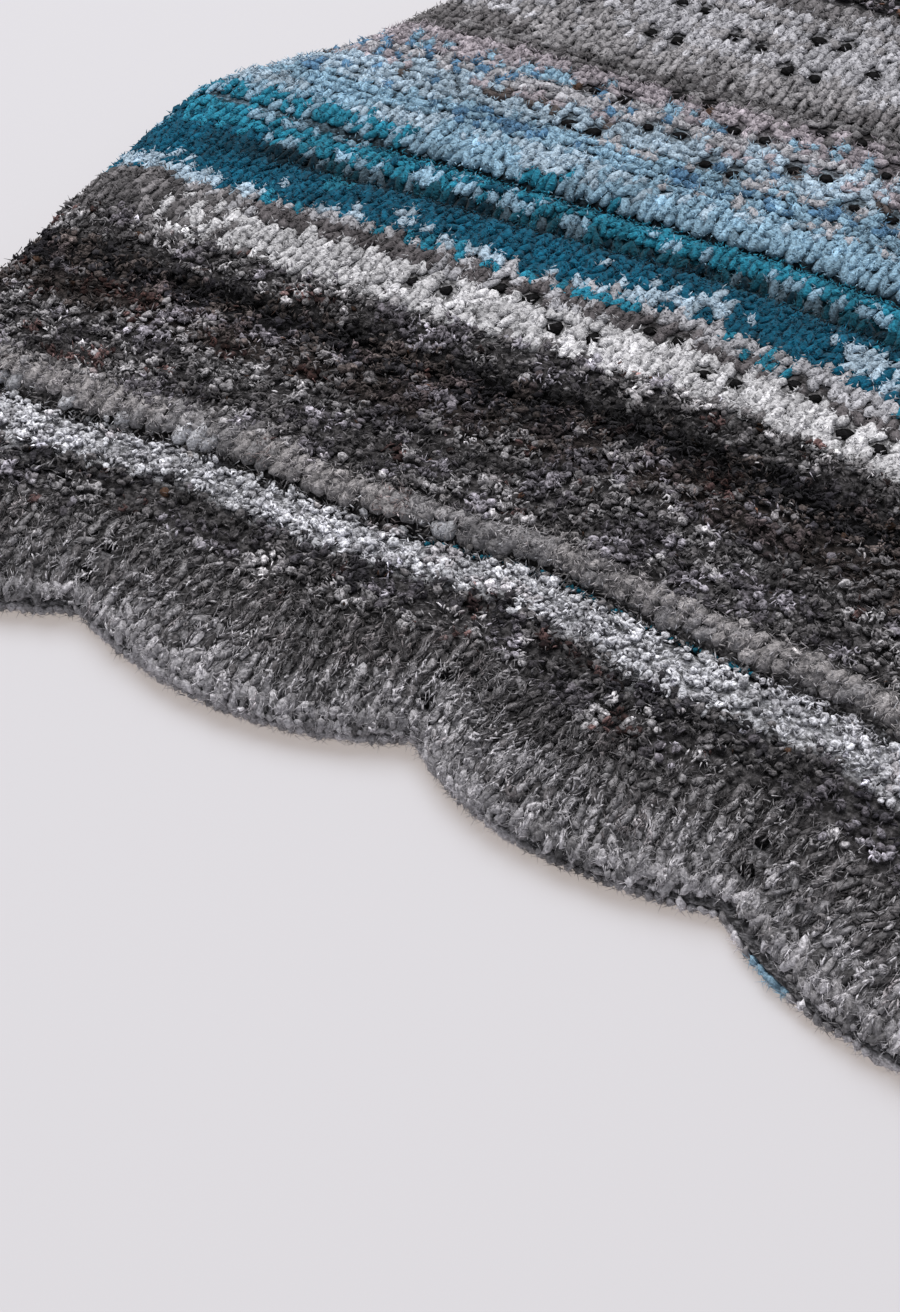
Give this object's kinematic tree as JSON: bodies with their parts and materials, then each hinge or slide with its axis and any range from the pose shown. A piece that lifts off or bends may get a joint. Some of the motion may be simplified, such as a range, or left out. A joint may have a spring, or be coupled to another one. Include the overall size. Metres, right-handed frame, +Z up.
{
  "type": "sweater vest",
  "caption": "Cropped knitted sweater vest laid flat, with a scalloped hem, soft crosswise tucks, open armholes and a round neck with a narrow band.",
  "frame": {"origin": "middle of the footprint, on the surface that the vest lies on", "axes": "+Z up through the cloth's thickness, +Y from the scalloped hem to the neck, +X to the right as seen from above with the neck away"},
  "size_m": [0.45, 0.4918, 0.0156],
  "materials": {
    "striped_knit": "fluffy bouclé and chenille knit in grey, charcoal, white, teal and light blue stripes",
    "back_knit": "fluffy bouclé knit in grey, charcoal, white, teal and light blue stripes",
    "band_knit": "fluffy grey knit"
  },
  "bodies": {
    "root": {"front_panel": "striped_knit", "back_panel": "back_knit", "neckband_front": "band_knit", "neckband_back": "band_knit"}
  },
  "joints": []
}
